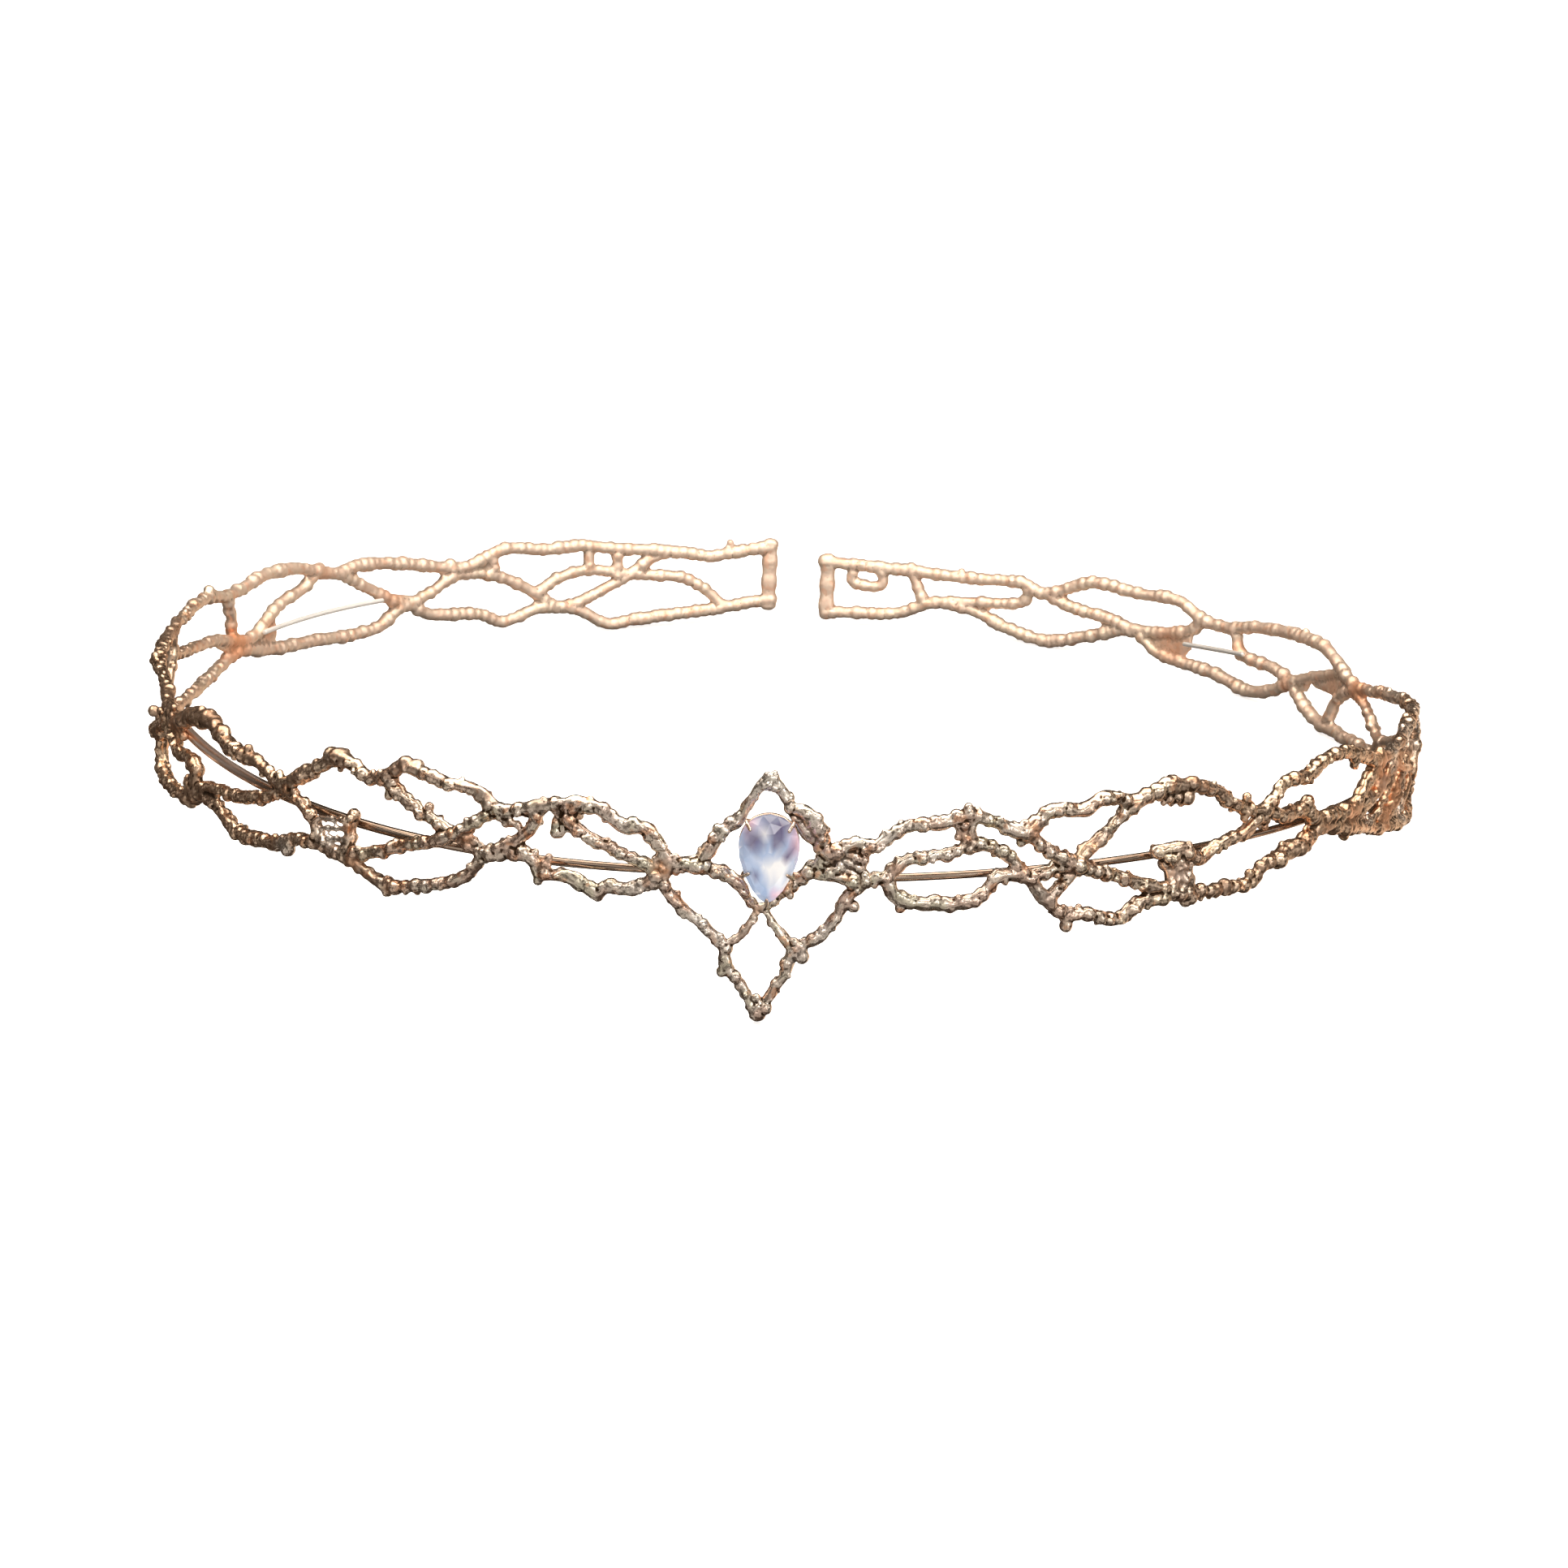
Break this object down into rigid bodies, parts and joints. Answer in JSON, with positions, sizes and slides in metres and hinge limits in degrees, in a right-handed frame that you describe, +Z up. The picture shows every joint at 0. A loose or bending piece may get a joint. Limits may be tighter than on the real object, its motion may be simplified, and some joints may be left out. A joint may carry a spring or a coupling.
{
  "type": "openwork twig circlet with a pear-shaped stone",
  "caption": "Openwork metal circlet of soldered knobbly twigs, open at the back, with a pear-shaped opalescent stone in a pointed motif at the front.",
  "frame": {"origin": "on the table under the middle of the crown as it stands by itself on the tip of its front point and two low twigs at the back", "axes": "+Z up, -Y towards the front stone, +X towards the right-hand half of the band as seen from the front"},
  "size_m": [0.1534, 0.1532, 0.0249],
  "materials": {
    "cast_gold": "polished champagne and rose gold, cast with a knobbly twig texture",
    "bright_wire": "smooth polished drawn wire",
    "opal_stone": "faceted, milky lavender and pale blue"
  },
  "bodies": {
    "root": {"left_twig_band": "cast_gold", "right_twig_band": "cast_gold", "front_motif": "cast_gold", "stone_setting": "cast_gold", "centre_stone": "opal_stone", "left_stay_wire": "bright_wire", "right_stay_wire": "bright_wire", "left_back_wire": "bright_wire", "right_back_wire": "bright_wire"}
  },
  "joints": []
}
